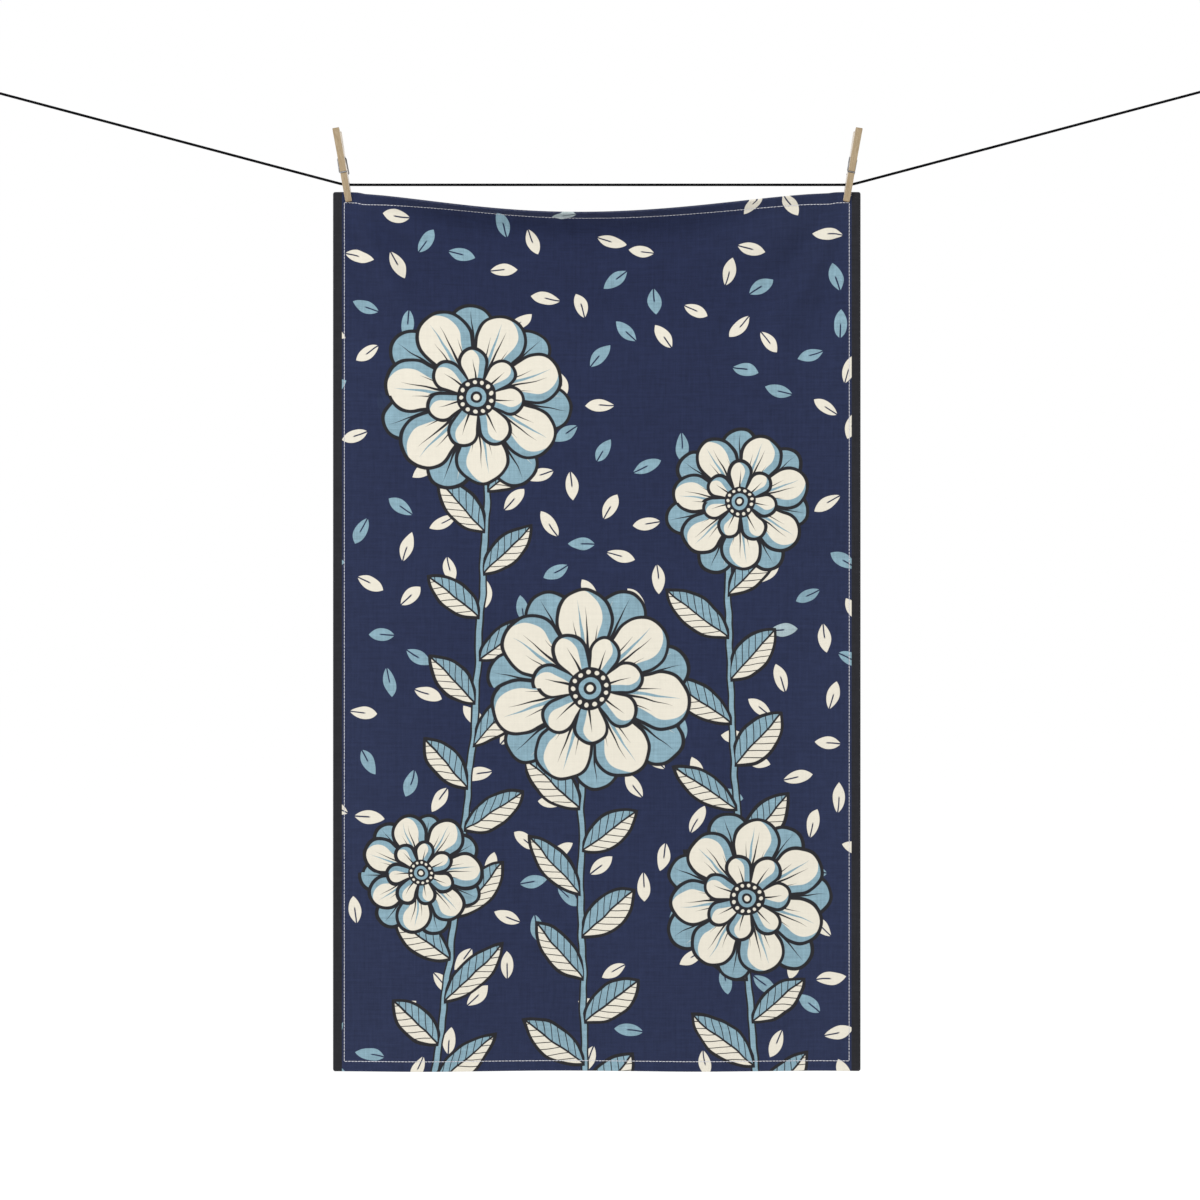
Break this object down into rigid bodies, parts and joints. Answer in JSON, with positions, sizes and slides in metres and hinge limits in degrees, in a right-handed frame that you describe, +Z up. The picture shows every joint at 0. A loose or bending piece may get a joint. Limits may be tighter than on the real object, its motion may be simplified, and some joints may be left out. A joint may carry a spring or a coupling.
{
  "type": "tea towel pegged on a clothes line",
  "caption": "Printed cotton tea towel, hemmed all round, hanging by its top corners from wooden spring pegs on a thin taut line that ends in knotted eyes.",
  "frame": {"origin": "on the axis of the level stretch of line, midway between the pegs and above the middle of the towel", "axes": "+X to the right along the level line as seen from the printed front, +Y away from the front through the cloth, +Z up"},
  "size_m": [1.1334, 0.0387, 0.8665],
  "materials": {
    "cotton": "matte printed slub cotton, navy ground with a cream and pale blue print",
    "wood": "bare sanded birch",
    "spring": "dull galvanised spring wire",
    "cord": "black braided polyester cord"
  },
  "bodies": {
    "root": {"tea_towel": "cotton", "peg_left_front_leg": "wood", "peg_left_back_leg": "wood", "peg_left_spring": "spring", "peg_right_front_leg": "wood", "peg_right_back_leg": "wood", "peg_right_spring": "spring", "line": "cord", "line_knot_left": "cord", "line_knot_right": "cord"}
  },
  "joints": []
}
